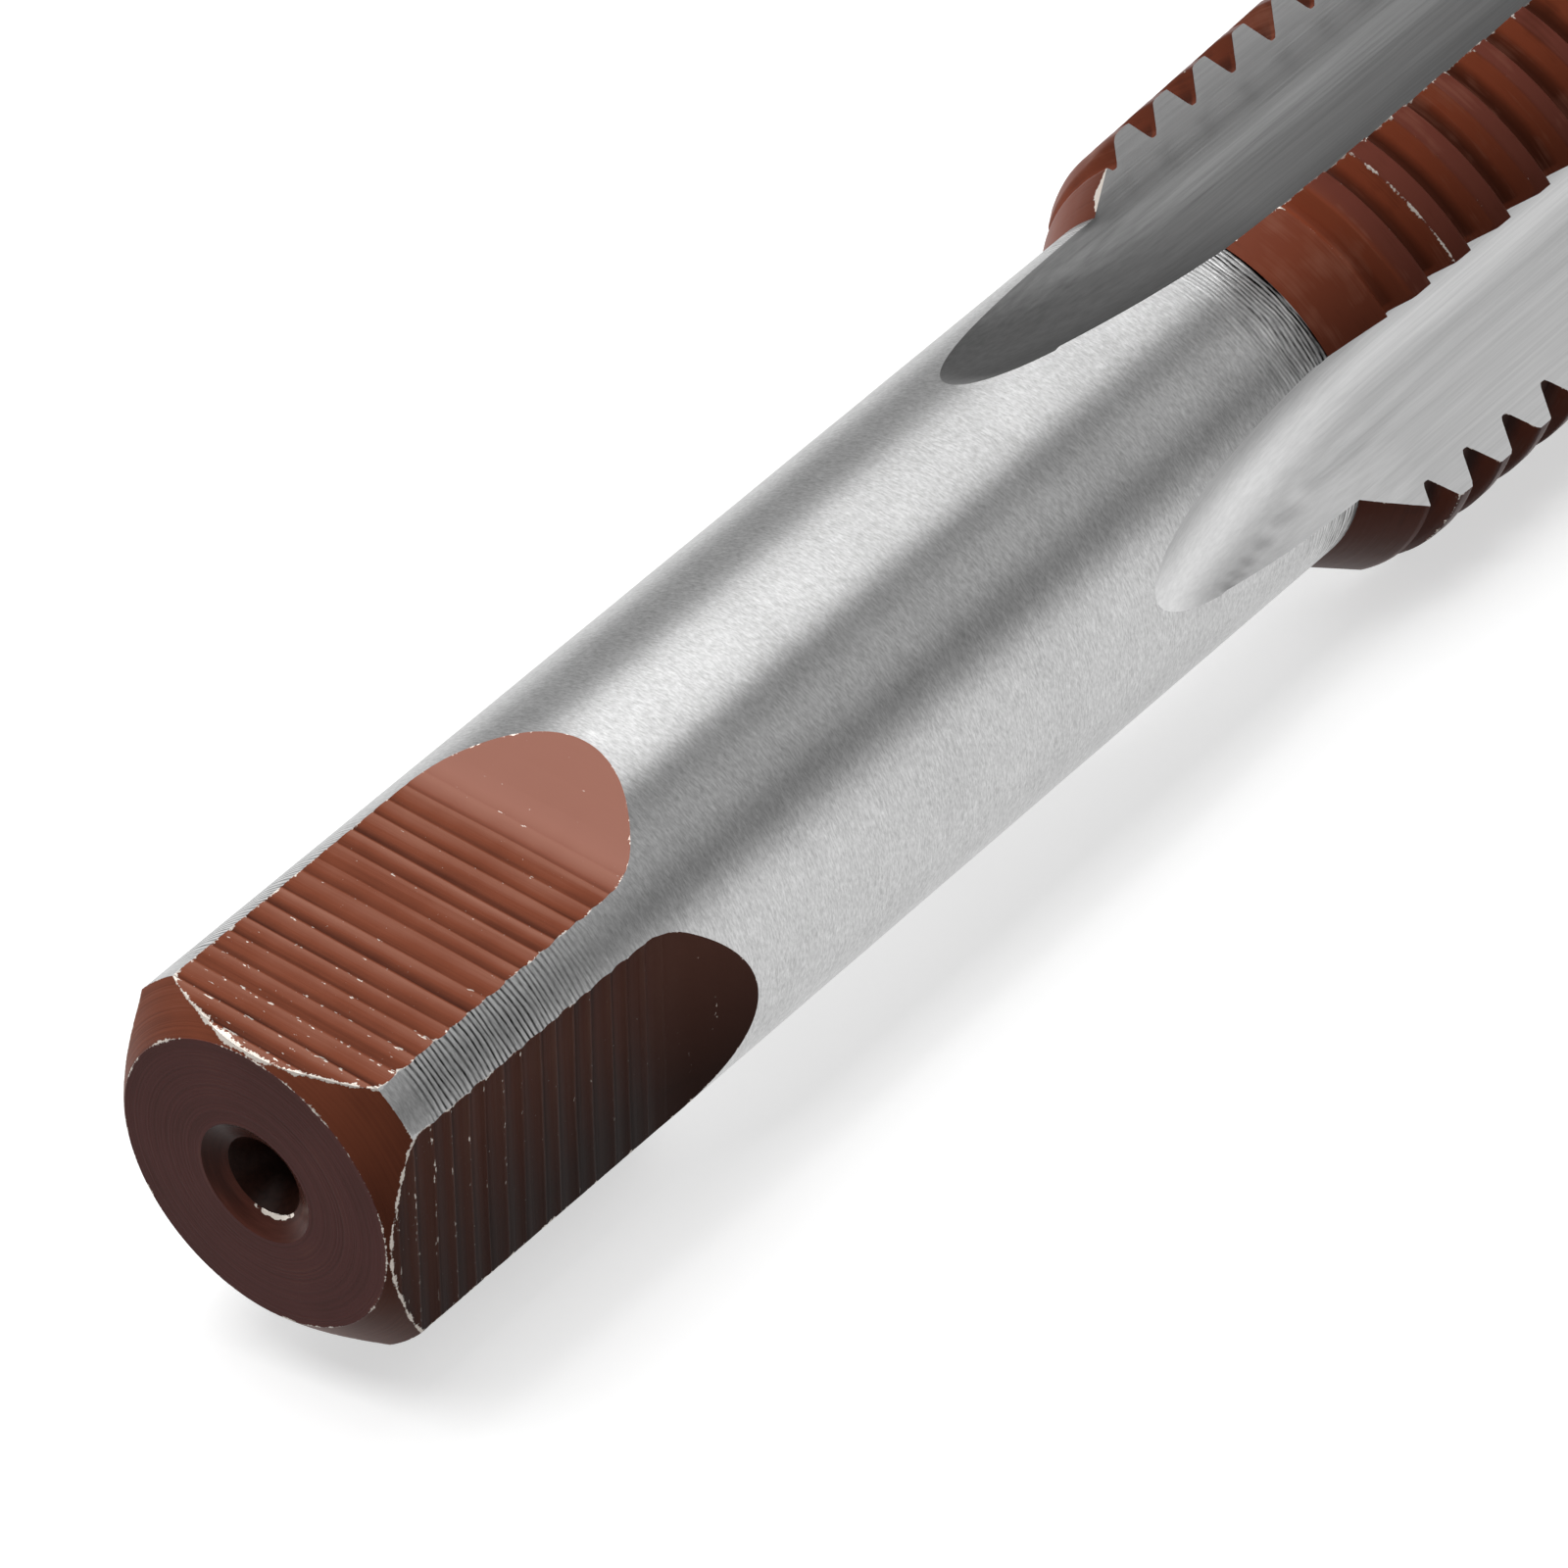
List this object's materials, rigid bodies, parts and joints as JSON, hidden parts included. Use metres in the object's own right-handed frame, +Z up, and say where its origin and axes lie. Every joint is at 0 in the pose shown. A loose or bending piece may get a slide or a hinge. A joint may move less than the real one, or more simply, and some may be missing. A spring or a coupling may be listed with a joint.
{
  "type": "thread tap",
  "caption": "Straight-flute hand tap: ground shank with a driving square, and lands of right-hand cutting thread with a tapered lead.",
  "frame": {"origin": "on the surface it lies on, under the middle of its length and width", "axes": "+X along the tap's axis from the drive end to the tip, +Z up, with two lands down on the surface"},
  "size_m": [0.08, 0.0142, 0.0142],
  "materials": {
    "tool_steel": "ground bright on the shank and in the flutes, brown oxide on the thread, the square's flats and the drive end"
  },
  "bodies": {
    "root": {"tap": "tool_steel"}
  },
  "joints": []
}
